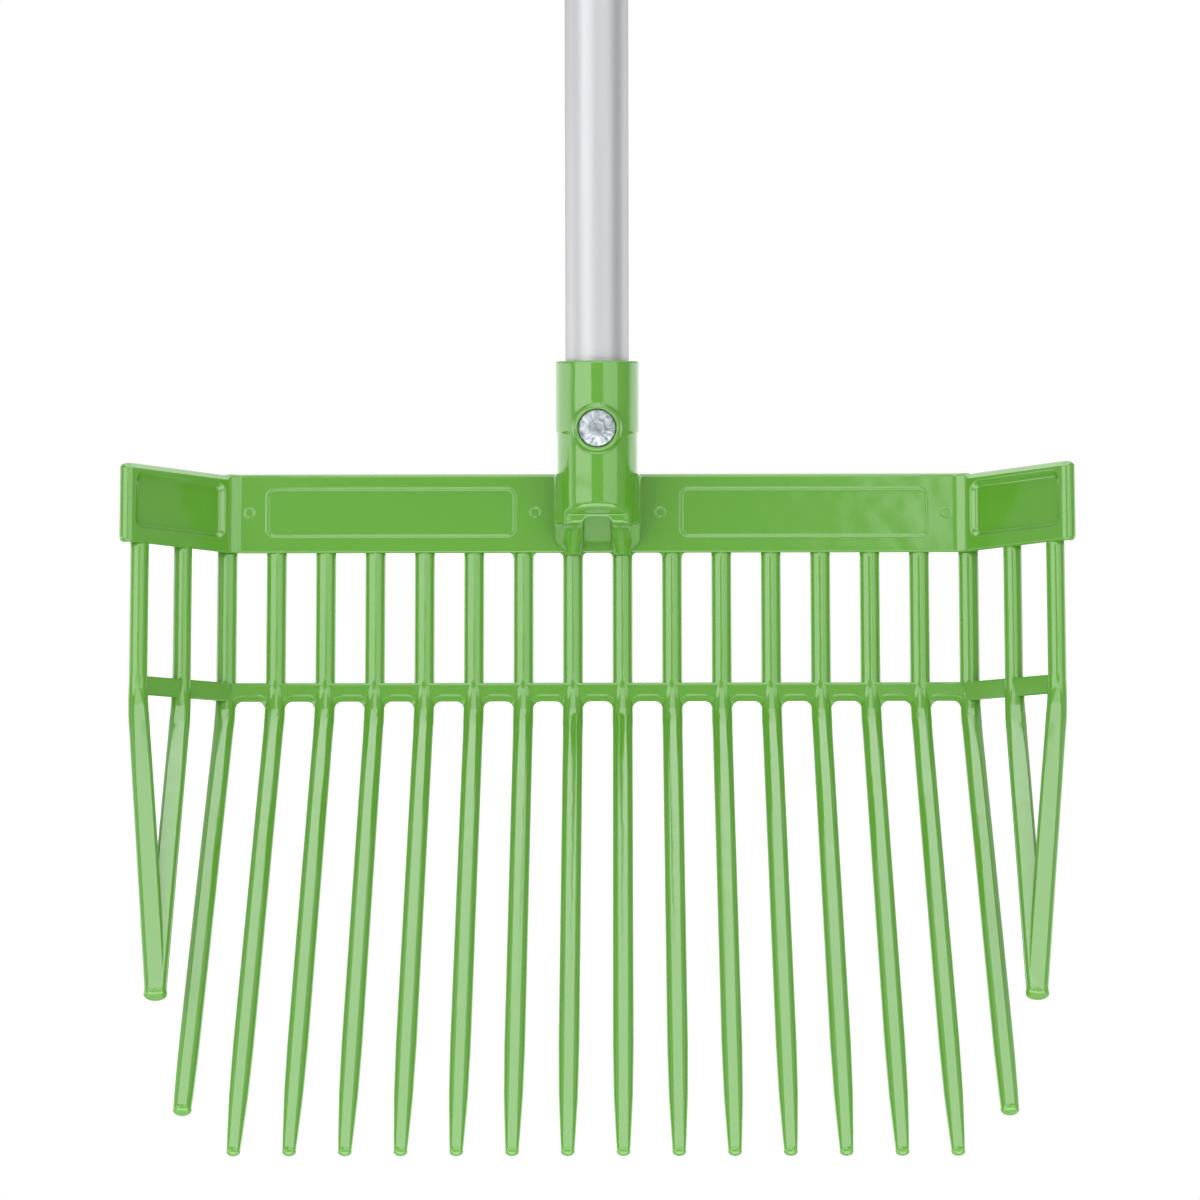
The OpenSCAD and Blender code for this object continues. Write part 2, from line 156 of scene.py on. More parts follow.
# The skin of the bar, with its face left open between two points of the profile for the recesses
face_top, face_foot = 7, 8
slack = 1e-3
end = wing_end - rail_t/2
folds = np.linspace(fold_start, fold_end, 10)
wings = np.linspace(fold_end, end, 5)
stations = sorted(set(np.round(np.concatenate([
    np.linspace(-fold_start, fold_start, 25), folds, -folds, wings, -wings]), 5)))
nose = [math.pi*k/16 for k in range(1, 16)]
around = [(u, (0.0, -1.0)) for u in stations]
around += [(end, (math.sin(a), -math.cos(a))) for a in nose]
around += [(u, (0.0, 1.0)) for u in reversed(stations)]
around += [(-end, (-math.sin(a), math.cos(a))) for a in nose]
work = bmesh.new()
grid = [[work.verts.new((u + d*n[0], rail_t/2 + d*n[1], z)) for d, z in bar_profile(u, n[1])]
        for u, n in around]
face_columns = len(stations)
for i, column in enumerate(grid):
    after = (i + 1) % len(grid)
    beside = grid[after]
    in_fold = fold_start - slack < abs((around[i][0] + around[after][0])/2) < fold_end
    for j in range(len(column) - 1):
        on_face = j == face_top and i < face_columns - 1
        if not on_face or in_fold:
            work.faces.new((column[j], column[j + 1], beside[j + 1], beside[j]))
for low, high in ((-end, -fold_end), (-fold_start, fold_start), (fold_end, end)):
    columns = [i for i in range(face_columns) if low - slack <= stations[i] <= high + slack]
    rim = [grid[i][face_top] for i in columns] + [grid[i][face_foot] for i in reversed(columns)]
    edges = []
    for a, b in zip(rim, rim[1:] + rim[:1]):
        edges.append(work.edges.get((a, b)) or work.edges.new((a, b)))
    for (x0, x1, z0, z1), r, relief in recesses:
        if not low < x0 < high:
            continue
        rings = [[work.verts.new((x, depth, z)) for x, z in rounded_ring(x0, x1, z0, z1, r, inset)]
                 for inset, depth in relief]
        for inner, outer in zip(rings[1:], rings):
            for k in range(len(outer)):
                m = (k + 1) % len(outer)
                work.faces.new((outer[k], outer[m], inner[m], inner[k]))
        work.faces.new(rings[-1])
        edges += [work.edges.get((a, b)) for a, b in zip(rings[0], rings[0][1:] + rings[0][:1])]
    bmesh.ops.triangle_fill(work, use_beauty=True, use_dissolve=False, edges=edges)
work.verts.index_update()
points = from_head(folded([v.co for v in work.verts]))
faces = [[v.index for v in f.verts] for f in work.faces]
work.free()
rail = piece("rail_and_wings", points, faces, "head_plastic", "rail", "wing_left", "wing_right")


class Shade:
    """An output in a node tree. Arithmetic on it adds Math nodes."""

    def __init__(self, tree, socket=None):
        self.tree, self.socket = tree, socket

    def node(self, kind, settings=None, inputs=None, output=0):
        made = self.tree.nodes.new(kind)
        for key, value in (settings or {}).items():
            setattr(made, key, value)
        for key, value in (inputs or {}).items():
            if isinstance(value, Shade):
                self.tree.links.new(value.socket, made.inputs[key])
            else:
                made.inputs[key].default_value = value
        return Shade(self.tree, made.outputs[output])

    def maths(self, operation, a, b):
        return self.node("ShaderNodeMath", {"operation": operation}, {0: a, 1: b})

    def __add__(self, other):
        return self.maths("ADD", self, other)

    def __radd__(self, other):
        return self.maths("ADD", other, self)

    def __sub__(self, other):
        return self.maths("SUBTRACT", self, other)

    def __rsub__(self, other):
        return self.maths("SUBTRACT", other, self)

    def __mul__(self, other):
        return self.maths("MULTIPLY", self, other)

    def __rmul__(self, other):
        return self.maths("MULTIPLY", other, self)


def new_finish(name):
    """A material, its shader's inputs and a start for its nodes."""
    made = bpy.data.materials.new(name)
    made.use_nodes = True
    shader = made.node_tree.nodes["Principled BSDF"]
    return made, shader.inputs, Shade(made.node_tree)


def feed(shade, inputs, name):
    """Link an output to the shader's input of this name."""
    shade.tree.links.new(shade.socket, inputs[name])


def noise(place, scale, detail):
    """A noise over the piece, between nought and one."""
    return place.node("ShaderNodeTexNoise", None, {"Vector": place, "Scale": scale, "Detail": detail})


def between(share, first, second):
    """A colour that goes from the first to the second with share."""
    return share.node("ShaderNodeMix", {"data_type": "RGBA"}, {0: share, 6: (*first, 1), 7: (*second, 1)}, 2)


def bumped(height, strength, distance, inputs=None):
    """A normal that follows a height, at most this many metres of it."""
    return height.node("ShaderNodeBump", None, {
        "Strength": strength, "Distance": distance, "Height": height, **(inputs or {})})


green, green_in, s = new_finish("moulded_green")
place = s.node("ShaderNodeTexCoord", output="Object")
cloud = noise(place, 22.0, 3.0)
ripple = noise(place, 75.0, 1.0)
grain = noise(place, 900.0, 2.0)
feed(between(cloud, (0.0755, 0.253, 0.0145), (0.0865, 0.270, 0.022)), green_in, "Base Color")
feed(0.05 + 0.06*cloud + 0.03*grain, green_in, "Roughness")
wave = bumped(ripple, 0.12, 0.0012)
feed(bumped(grain, 0.04, 0.0002, {"Normal": wave}), green_in, "Normal")
green_in["IOR"].default_value = 1.6
green_in["Specular IOR Level"].default_value = 0.70
rail.data.materials.append(green)


# Tines: sixteen of them, moulded with the rail, and shorter at both corners. Each is round down
# to the cross rib, bends forward there and then has a flat land on its load side as far as its
# blunt tip. The pairs of the wings run together in one tip on either side.
tine_pitch, tine_count = 20.0, 16
tine_bend, bend_r, bend_drop = math.radians(41), 26.0, 94.8
tine_long, corner_short, tip_round = 231.0, 19.5, 2.0
# Half width and half depth of a stem, and half the width of its land
main_stem, main_land = (4.15, 3.45), 1.65
side_stem, side_land = (3.75, 3.6), 2.8
# Along the lower part: how far from its end, half width, half depth
taper = [(400, 4.3, 3.4), (51, 4.1, 3.3), (27, 3.7, 3.0), (18, 3.35, 2.75), (8, 2.9, 2.3),
         (2.6, 2.58, 1.9), (0, 2.45, 1.7)]
root_sink, root_neck = 1.2, 0.45
# Half land and the turn of the sides in degrees, down the stem and where the bend starts
stem_land, stem_side = 0.02, 89
bend_land, bend_side = 0.9, 86
# Past the bend the land grows to its full width and the sides turn less
land_start, land_run = 0.7, 36
lower_side, land_side, side_run = 64, 55, 9
land_edge, edge_least, land_most, tip_pinch = 0.18, 0.3, 0.8, 0.8


def tine_section(w, d, land, side):
    """Ring of points round a tine: half width, half depth, half land and how far its sides turn."""
    turn = math.radians(side)
    spread = (w - land)/(1 - math.cos(turn))
    ring = []
    for k in range(9):
        a = turn*k/8
        ring.append((land + spread*(math.cos(a) - math.cos(turn)), d*math.sin(a)/math.sin(turn)))
    edge_x, edge_d = ring.pop()
    prior_x, prior_d = ring[-1]
    share = land_edge/math.hypot(edge_x - prior_x, edge_d - prior_d)
    ring.append((edge_x + share*(prior_x - edge_x), edge_d + share*(prior_d - edge_d)))
    ring.append((max(edge_x - land_edge, edge_least*edge_x), edge_d))
    right = ring + [(0.0, d)]
    left = [(-x, y) for x, y in reversed(ring)]
    rear = [(-w*math.cos(math.pi*k/12), -d*math.sin(math.pi*k/12)) for k in range(1, 12)]
    return right + left + rear


def tine_points(bend, lower, land, heading, root, stem, cut=0.0, even=None):
    """Rings down a tine from just inside the bar to its tip, in the head's frame. The lower part
    follows the taper, less what is cut off its end, or keeps one even half width and half depth."""
    stem_w, stem_d = stem
    tangent = bend_r*math.tan(bend/2)
    rings = []

    def ring(centre, turn, w, d, flat, side):
        forward = np.array([0, -math.cos(turn), math.sin(turn)])
        rings.append([centre + np.array([x, 0, 0]) + forward*y for x, y in tine_section(w, d, flat, side)])

    neck_w, neck_d = stem_w - root_neck, stem_d - root_neck
    ring(np.array([0, 0, root_sink - rail_h]), 0, neck_w, neck_d, stem_land, stem_side)
    for z in (rail_h + 0.5, rail_h + 2, 45, 60, 75, bend_drop - tangent - 1.5):
        ring(np.array([0, 0, -z]), 0, stem_w, stem_d, stem_land, stem_side)
    ring(np.array([0, 0, tangent - bend_drop]), 0, stem_w, stem_d, bend_land, bend_side)
    for k in range(1, 13):
        share = k/12
        turn = bend*share
        centre = np.array([0, bend_r*math.cos(turn) - bend_r, tangent - bend_drop - bend_r*math.sin(turn)])
        w = stem_w + (taper[0][1] - stem_w)*share
        flat = bend_land + (land_start*land - bend_land)*share
        ring(centre, turn, w, stem_d, flat, bend_side + (lower_side - bend_side)*share)
    run = np.array([0, -math.sin(bend), -math.cos(bend)])
    corner = np.array([0, 0, -bend_drop])
    from_end, widths, depths = zip(*reversed(taper))
    marks = {tangent + 2, tangent + 5, tangent + 9, 40, 80, 120, lower - 70}
    marks |= {lower - t for t in from_end[:-1]}
    marks |= {lower - tip_round*q for q in (1, 0.8, 0.6, 0.4, 0.25, 0.12, 0.04, 0)}
    for at in sorted(m for m in marks if m > tangent):
        left = lower - at
        past_bend = at - tangent
        w, d = even or (np.interp(left + cut, from_end, half) for half in (widths, depths))
        flat = land*(land_start + (1 - land_start)*min(past_bend/land_run, 1))
        if left < tip_round:
            gone = tip_round - math.sqrt(tip_round**2 - (tip_round - left)**2)
            w, d, flat = w - gone, d - gone, flat*(1 - tip_pinch*gone/tip_round)
        side = lower_side + (land_side - lower_side)*min(past_bend/side_run, 1)
        ring(corner + run*at, bend, w, d, min(flat, land_most*w), side)
    c, n = math.cos(heading), math.sin(heading)
    turned = np.array([[c, -n, 0], [n, c, 0], [0, 0, 1]])
    return [np.array(r) @ turned.T + np.array(root) for r in rings]


def tube_faces(rings):
    """Quads between rings of the same length, and a cap at either end."""
    n = len(rings[0])
    faces = [[i*n + k, i*n + (k + 1) % n, (i + 1)*n + (k + 1) % n, (i + 1)*n + k]
             for i in range(len(rings) - 1) for k in range(n)]
    return faces + [list(range(n))[::-1], [(len(rings) - 1)*n + k for k in range(n)]]


for i in range(tine_count):
    x = (i - (tine_count - 1)/2)*tine_pitch
    cut = corner_short if i in (0, tine_count - 1) else 0.0
    rings = tine_points(tine_bend, tine_long - cut, main_land, 0.0, (x, 0, 0), main_stem, cut)
    tine = piece("tine_%02d_moulded" % (i + 1), from_head(np.concatenate(rings)), tube_faces(rings),
                 "head_plastic", "tine_%02d" % (i + 1))
    tine.data.materials.append(green)

# The wings' tines aim at one point on either side and end a little past it
side_roots = {"inner": 24.8, "outer": 46.6}
side_lower = (4.3, 3.2)
side_tip_x, side_tip_l, side_tip_rise, side_tip_past = 162.7, 164.0, 14.0, 4.0
side_tip = np.array([
    side_tip_x,
    -side_tip_l*math.sin(tine_bend) - side_tip_rise*math.cos(tine_bend),
    -bend_drop - side_tip_l*math.cos(tine_bend) + side_tip_rise*math.sin(tine_bend)])
for name, at in side_roots.items():
    root = np.array([fold_x + at*math.cos(fold_turn), -at*math.sin(fold_turn), 0])
    run = side_tip - root - np.array([0, 0, -bend_drop])
    bend = math.atan2(math.hypot(run[0], run[1]), -run[2])
    lower = np.linalg.norm(run) + side_tip_past
    rings = tine_points(bend, lower, side_land, math.atan2(run[0], -run[1]), root, side_stem, even=side_lower)
    points = np.concatenate(rings)
    for side, mirror in (("right", 1), ("left", -1)):
        tine = piece("side_tine_%s_%s_moulded" % (side, name), from_head(points*[mirror, 1, 1]),
                     tube_faces(rings), "head_plastic", "side_tine_%s_%s" % (side, name))
        tine.data.materials.append(green)


# Cross rib: a flat bar moulded through the tines just above their bend, which keeps them apart.
# Its foot is arched between the main tines, with a bead and a bevel along the arches. On the
# wings it is a plain bar.
rib_top, rib_foot, rib_front, rib_back = 85.0, 92.7, -3.25, 2.5
arch_r, arch_lap, top_share = 3.0, 0.05, 0.48
wing_rib_start = 2.0


def rib_outline(inset):
    """Outline of the arched rib in the head's plane, its foot drawn in by inset and its top by less."""
    reach = (tine_count - 1)/2*tine_pitch
    arch_z = -rib_foot - arch_r
    r = arch_r + inset
    line = [(x, -rib_top - top_share*inset) for x in np.linspace(reach, -reach, 2*tine_count - 1)]
    line.append((-reach, arch_z))
    for i in range(tine_count - 1):
        x = i*tine_pitch - reach
        near = x + main_stem[0] + arch_r - arch_lap
        far = x + tine_pitch - main_stem[0] - arch_r + arch_lap
        for centre, start in ((near, 180), (far, 90)):
            turns = [math.radians(start - 90*k/8) for k in range(9)]
            line += [(centre + r*math.cos(a), arch_z + r*math.sin(a)) for a in turns]
    return line + [(reach, arch_z)]


def wing_rib_outline(inset):
    """Outline of a wing's rib along the wing, as far as its outer tine, drawn in by inset."""
    reach = side_roots["outer"]
    top, foot = -rib_top - inset, -rib_foot + inset
    return [(reach, top), (wing_rib_start, top), (wing_rib_start, foot), (reach, foot)]


def layered(outline, layers):
    """An outline drawn at several depths, each drawn in by its own inset."""
    return [np.array([(x, y, z) for x, z in outline(inset)]) for inset, y in layers]


# Each layer: how far it is drawn in, and its depth, which is behind the front in the first two lists
bead_layers = [(3.0, 0), (2.9, -0.03), (2.5, -0.24), (2.38, -0.24), (2.2, -0.08), (0.25, 0.17), (0, 0.5)]
plain_layers = [(0.8, 0), (0.7, 0.05), (0.1, 0.45), (0, 0.8)]
back_layers = [(0, rib_back - 0.6), (0.6, rib_back)]
rings = layered(rib_outline, [(inset, rib_front + y) for inset, y in bead_layers] + back_layers)
rib = piece("cross_rib_moulded", from_head(np.concatenate(rings)), tube_faces(rings),
            "head_plastic", "cross_rib", crease=35)
rib.data.materials.append(green)

rings = layered(wing_rib_outline, [(inset, rib_front + y) for inset, y in plain_layers] + back_layers)
flat = np.concatenate(rings)
c, n = math.cos(fold_turn), math.sin(fold_turn)
turned = np.stack([fold_x + flat[:, 0]*c + flat[:, 1]*n, -flat[:, 0]*n + flat[:, 1]*c, flat[:, 2]], 1)
for side, mirror in (("right", 1), ("left", -1)):
    rib = piece("wing_rib_%s_moulded" % side, from_head(turned*[mirror, 1, 1]), tube_faces(rings),
                "head_plastic", "wing_rib_%s" % side, crease=35)
    rib.data.materials.append(green)


# Fillets: small concave webs of the same plastic on either side of the four middle tines, where
# these run into the rail. They are moulded with both.
fillet_r, fillet_y, fillet_lap, fillet_rise, fillet_nip = 1.9, 2.9, 1.2, 2.0, 0.1
fillet_arc = [math.radians(90*k/8) for k in range(9)]
points, faces = [], []
for tine_x in (-1.5*tine_pitch, -0.5*tine_pitch, 0.5*tine_pitch, 1.5*tine_pitch):
    for side in (-1, 1):
        root_x = tine_x + side*(main_stem[0] - fillet_lap)
        reach_x = tine_x + side*(main_stem[0] - fillet_nip + fillet_r)
        outline = [(root_x, fillet_rise - rail_h), (reach_x, fillet_rise - rail_h)]
        outline += [(reach_x - side*fillet_r*math.sin(a), fillet_r*math.cos(a) - fillet_r - rail_h)
                    for a in fillet_arc]
        outline.append((root_x, -rail_h - fillet_r))
        rings = [np.array([(x, y, z) for x, z in outline]) for y in (-fillet_y, fillet_y)]
        faces += [[len(points) + k for k in face] for face in tube_faces(rings)]
        points += np.concatenate(rings).tolist()
fillets = piece("root_fillets", from_head(points), faces, "head_plastic", crease=40)
fillets.data.materials.append(green)


# Socket: the round collar of the moulding that takes the shaft's foot, with a boss for the bolt.
# Its cheeks run back to the rail and two legs reach down to the middle tines, with a small
# hollow behind its lip. All its corners are blended as they come out of the mould.
socket_r, socket_l, socket_edge = 16.5, 65.0, 0.6
collar_r, collar_h, collar_blend = 17.1, 28.5, 0.6
lip_z, lip_slope, lip_back, lip_blend = -58.1, 0.5, -11.0, 2.0
cheek_low, cheek_high = (-17.7, -19.0, -60.0), (17.7, -1.0, -0.3)
cheek_corner, cheek_foot, cheek_edge, cheek_blend = 6.0, rail_h - 1.0, 1.3, 1.0
cheek_top = -rail_drop - 0.3
# The slope under the cheeks: the sine and cosine of its lean, where it starts, and what it leaves
under_sine, under_cosine, under_y = 0.496, 0.868, -5.0
under_cheeks, under_hollow = 2.2, 3.8
leg_low, leg_high = np.array([9.9, -1.6, -31.5]), np.array([8.3, -20.0, -17.0])
leg_r, leg_taper, leg_back, leg_foot = 4.1, 1.2, -1.0, rail_h + 1.0
limb_blend = 2.0
bolt_z, boss_y = -26.5, 17.9
boss_r, boss_edge, boss_blend = 9.7, 1.8, 0.6
rear_boss_r, rear_boss_edge = 8.0, 0.9
hollow_low, hollow_high, hollow_edge, hollow_blend = (-5.5, -25.0, -90.0), (5.5, 30.0, -62.1), 2.4, 1.0
bore_r, bore_foot, bore_mouth, bore_edge, bore_blend = 12.75, -52.0, 9.0, 0.3, 0.5
seat_r, seat_y, seat_edge, seat_blend = 7.65, -15.1, 0.2, 0.6
bolt_hole_r, bolt_hole_edge, bolt_hole_blend = 3.25, 0.1, 0.2
well_past = 30.0
socket_low, socket_high = (-19.5, -20.5, -81.0), (19.5, 21.5, 1.0)


def joined(a, b, blend):
    """The field of two forms together, with a fillet about as wide as blend."""
    h = np.clip(0.5 + 0.5*(b - a)/blend, 0, 1)
    return b + (a - b)*h - blend*h*(1 - h)


def carved(a, b, blend):
    """The field of one form with another cut out of it, and the edges eased."""
    return -joined(-a, b, blend)


def rod_field(p, axis, r, low, high, edge):
    """How far points are outside a round rod along an axis, whose ends have round edges."""
    across = [k for k in range(3) if k != axis]
    wide = np.hypot(p[:, across[0]], p[:, across[1]]) - r + edge
    tall = np.abs(p[:, axis] - (low + high)/2) - (high - low)/2 + edge
    return np.minimum(np.maximum(wide, tall), 0) + np.hypot(np.maximum(wide, 0), np.maximum(tall, 0)) - edge


def block_field(p, low, high, edge):
    """How far points are outside a block with round edges."""
    q = np.abs(p - (np.array(low) + high)/2) - (np.array(high, float) - low)/2 + edge
    return np.minimum(q.max(1), 0) + np.linalg.norm(np.maximum(q, 0), axis=1) - edge


def to_head(p):
    """Points beside the shaft, as they lie in the leaning head."""
    back, up = p[:, 1] - rail_setback, p[:, 2] + rail_drop
    return np.stack([
        p[:, 0],
        back*math.cos(lean) + up*math.sin(lean),
        up*math.cos(lean) - back*math.sin(lean)], 1)


def socket_field(p):
    """How far points are outside the socket, as its forms are added and its openings cut."""
    head = to_head(p)
    at_bolt = p - [0, 0, bolt_z]
    body = rod_field(p, 2, socket_r, -socket_l, 0, socket_edge)
    lip = (lip_slope*(p[:, 1] + socket_r) + p[:, 2] - lip_z)/math.hypot(lip_slope, 1)
    body = carved(body, np.maximum(lip, p[:, 1] - lip_back), lip_blend)
    collar = rod_field(p - [0, collar_r - socket_r, 0], 2, collar_r, -collar_h, 0, socket_edge)
    body = joined(body, collar, collar_blend)
    side = np.abs(head[:, 0]) - cheek_high[0] + cheek_corner
    drop = -head[:, 2] - cheek_foot + cheek_corner
    outline = np.hypot(np.maximum(side, 0), np.maximum(drop, 0)) - cheek_corner
    outline = outline + np.minimum(np.maximum(side, drop), 0)
    cheeks = carved(outline, -block_field(head, cheek_low, cheek_high, cheek_edge), cheek_blend)
    under = -under_sine*(head[:, 1] - under_y) - under_cosine*(head[:, 2] + rail_h)
    cheeks = carved(cheeks, -under - under_cheeks, cheek_blend)
    cheeks = carved(cheeks, cheek_top - p[:, 2], cheek_blend)
    body = joined(body, cheeks, limb_blend)
    leg_run = leg_high - leg_low
    beside = np.stack([np.abs(head[:, 0]), head[:, 1], head[:, 2]], 1) - leg_low
    along = np.clip(beside @ leg_run/(leg_run @ leg_run), 0, 1)
    leg = np.linalg.norm(beside - along[:, None]*leg_run, axis=1) - leg_r + leg_taper*along
    leg = np.maximum(leg, np.maximum(head[:, 1] - leg_back, -head[:, 2] - leg_foot))
    body = joined(body, leg, limb_blend)
    body = joined(body, rod_field(at_bolt, 1, boss_r, -boss_y, 0, boss_edge), boss_blend)
    body = joined(body, rod_field(at_bolt, 1, rear_boss_r, 0, boss_y, rear_boss_edge), rear_boss_edge)
    hollow = block_field(p, hollow_low, hollow_high, hollow_edge)
    body = carved(body, np.maximum(hollow, -under - under_hollow), hollow_blend)
    body = carved(body, rod_field(p, 2, bore_r, bore_foot, bore_mouth, bore_edge), bore_blend)
    body = carved(body, rod_field(at_bolt, 1, seat_r, -well_past, seat_y, seat_edge), seat_blend)
    bolt_hole = rod_field(at_bolt, 1, bolt_hole_r, -well_past, well_past, bolt_hole_edge)
    return carved(body, bolt_hole, bolt_hole_blend)


def moulded(field, low, high, step, sweeps=5, nudges=3, probe=0.01, least_slope=0.2):
    """Mesh of the surface where a distance field is zero. Cells of a grid that the surface crosses
    are joined into quads, whose corners are then evened out and nudged onto the surface in turn."""
    axes = [np.arange(a, b + step, step) for a, b in zip(low, high)]
    size = [len(a) for a in axes]
    spots = np.stack(np.meshgrid(*axes, indexing="ij"), -1).reshape(-1, 3)
    inside = (np.concatenate([field(part) for part in np.array_split(spots, 8)]) < 0).reshape(size)
    count = sum(inside[i:size[0] - 1 + i, j:size[1] - 1 + j, k:size[2] - 1 + k].astype(int)
                for i in (0, 1) for j in (0, 1) for k in (0, 1))
    crossed = (count > 0) & (count < 8)
    number = np.full(crossed.shape, -1)
    number[crossed] = np.arange(crossed.sum())
    points = np.argwhere(crossed)*step + np.array([a[0] for a in axes]) + step/2
    faces = []
    for axis in range(3):
        first, second = [slice(None)]*3, [slice(None)]*3
        first[axis], second[axis] = slice(0, -1), slice(1, None)
        a, b = inside[tuple(first)], inside[tuple(second)]
        u, v = [k for k in range(3) if k != axis]
        if axis == 1:
            u, v = v, u
        for turn, edges in ((1, np.argwhere(a & ~b)), (-1, np.argwhere(~a & b))):
            corners = []
            for du, dv in ((0, 0), (-1, 0), (-1, -1), (0, -1))[::turn]:
                cell = edges.copy()
                cell[:, u] += du
                cell[:, v] += dv
                corners.append(number[cell[:, 0], cell[:, 1], cell[:, 2]])
            faces.append(np.stack(corners, 1))
    faces = np.concatenate(faces)
    links = np.concatenate([faces[:, [k, (k + 1) % 4]] for k in range(4)])
    for sweep in range(sweeps):
        total = np.zeros_like(points)
        share = np.zeros(len(points))
        np.add.at(total, links[:, 0], points[links[:, 1]])
        np.add.at(share, links[:, 0], 1)
        points = 0.5*points + 0.5*total/share[:, None]
        for nudge in range(nudges):
            value = field(points)
            slope = np.stack([(field(points + e) - field(points - e))/(2*probe) for e in np.eye(3)*probe], 1)
            points = points - slope*(value/np.maximum((slope**2).sum(1), least_slope))[:, None]
    return points, faces.tolist()


cell_size = 0.42
points, faces = moulded(socket_field, socket_low, socket_high, cell_size)
socket = piece("socket_moulded", points, faces, "head_plastic", "socket")
socket.data.materials.append(green)


# Shaft: a straight drawn aluminium tube, pushed into the socket and held there by the bolt.
# Drawing leaves fine lines along it, and handling has dulled it to a satin finish.
shaft_r, shaft_wall, shaft_top, shaft_foot = 12.7, 1.5, 1150.0, bore_foot
inner_r = shaft_r - shaft_wall
# Inside the socket the tube is drawn a little thinner, clear of the bore
hidden_r, hidden_top = shaft_r - 0.3, -0.6


def spun(rings):
    """Points of rings about the upright axis, each given by its radius and height on every side."""
    sides = len(rings[0])
    turns = [2*math.pi*k/sides for k in range(sides)]
    return np.array([(r*math.cos(a), r*math.sin(a), z) for ring in rings for a, (r, z) in zip(turns, ring)])


def loop_faces(rings):
    """Quads between rings of the same length, and from the last one back to the first."""
    n, count = len(rings[0]), len(rings)
    pairs = [(i*n, (i + 1) % count*n) for i in range(count)]
    return [[a + k, a + (k + 1) % n, b + (k + 1) % n, b + k] for a, b in pairs for k in range(n)]


def lathe(outline, sides=96):
    """A closed outline of (radius, height) turned about the upright axis."""
    rings = [[pair]*sides for pair in outline]
    return spun(rings), loop_faces(rings)


points, faces = lathe([(inner_r, shaft_foot), (hidden_r, shaft_foot), (hidden_r, hidden_top), (shaft_r, 0.0)]
                      + [(shaft_r, z) for z in np.linspace(50, shaft_top, 12)] + [(inner_r, shaft_top)])
shaft = piece("shaft_tube", points, faces, "shaft_aluminium", "shaft", crease=40)
metal, metal_in, s = new_finish("drawn_aluminium")
place = s.node("ShaderNodeTexCoord", output="Object")
drawn = s.node("ShaderNodeMapping", None, {"Vector": place, "Scale": (1.0, 1.0, 0.012)})
lines = noise(drawn, 1400.0, 4.0)
bands = noise(drawn, 260.0, 2.0)
smear = noise(place, 18.0, 3.0)
feed(between(bands, (0.43, 0.445, 0.47), (0.51, 0.505, 0.505)), metal_in, "Base Color")
feed(0.40 + 0.10*lines + 0.06*smear, metal_in, "Roughness")
feed(bumped(lines, 0.12, 0.0002), metal_in, "Normal")
metal_in["Metallic"].default_value = 1.0
metal_in["Specular Tint"].default_value = (0.45, 0.42, 0.40, 1)
shaft.data.materials.append(metal)


# End cap: a plug with a round-edged top that closes the upper end of the tube.
# Moulded in the head's green plastic and pressed in.
cap_h, cap_round, cap_edge, cap_flat_r = 6.0, 3.0, 0.3, 5.0
plug_r, plug_l, plug_wall, plug_floor = inner_r - 0.05, 20.0, 2.0, 0.5
axis_r = 0.02
plug = [(axis_r, -plug_floor), (plug_r - plug_wall, -plug_floor), (plug_r - plug_wall, -plug_l),
        (plug_r, -plug_l), (plug_r, 0)]
cap_arc = [math.radians(90*k/10) for k in range(11)]
crown = [(shaft_r - cap_edge, 0), (shaft_r, cap_edge)]
crown += [(shaft_r + cap_round*(math.cos(a) - 1), cap_h + cap_round*(math.sin(a) - 1)) for a in cap_arc]
crown += [(cap_flat_r, cap_h), (axis_r, cap_h)]
points, faces = lathe([(r, shaft_top + z) for r, z in plug + crown])
cap = piece("end_cap_moulded", points, faces, "cap_plastic", "end_cap", crease=40)
cap.data.materials.append(green)


# Clamp bolt: a zinc plated bolt with a low round head, pushed through socket and tube.
# Its head has a hollow in the middle and a ring of struck notches, and its end is threaded.
head_r, head_h, rim_h, rim_in, head_sides = 7.4, 3.2, 2.0, 0.4, 144
dimple_r, dimple_run, dimple_deep = 3.0, 0.7, 0.45
notch_in, notch_out, notch_run, notch_deep, notch_count = 3.6, 6.3, 0.5, 0.18, 16
bolt_r, shank_sides = 3.0, 48
thread_start, thread_end, thread_step, thread_deep = -28.0, -42.5, -0.125, 0.55


def on_bolt(points):
    """Points turned about the upright axis laid along the bolt, its head towards the load side."""
    p = np.asarray(points, float)
    return np.stack([p[:, 0], seat_y - p[:, 2], bolt_z + p[:, 1]], 1)


dome_r = head_r - rim_in
dome = (dome_r**2 + (head_h - rim_h)**2)/(2*(head_h - rim_h))
rim = [(axis_r, 0.0), (head_r - 0.3, 0.0), (head_r, 0.3), (head_r, rim_h - 0.2)]
rings = [[pair]*head_sides for pair in rim]
notches = [max(math.cos(notch_count*2*math.pi*k/head_sides), 0)**2 for k in range(head_sides)]
# Over the dome: the radius, and how far the ring is eased down at the rim
dome_rings = [(head_r - 0.15, 0.15), (dome_r, 0)] + [(r, 0) for r in np.linspace(head_r - 0.7, axis_r, 26)]
for r, eased in dome_rings:
    z = head_h - dome + math.sqrt(dome*dome - min(r, dome_r)**2) - eased
    hollow = np.clip((dimple_r - r)/dimple_run, 0, 1)
    z -= dimple_deep*hollow*hollow*(3 - 2*hollow)
    belt = np.clip((r - notch_in)/notch_run, 0, 1)*np.clip((notch_out - r)/notch_run, 0, 1)
    rings.append([(r, z - notch_deep*belt*notch) for notch in notches])
bolt = piece("clamp_bolt_head", on_bolt(spun(rings)), tube_faces(rings),
             "zinc_steel", "clamp_bolt", crease=50)


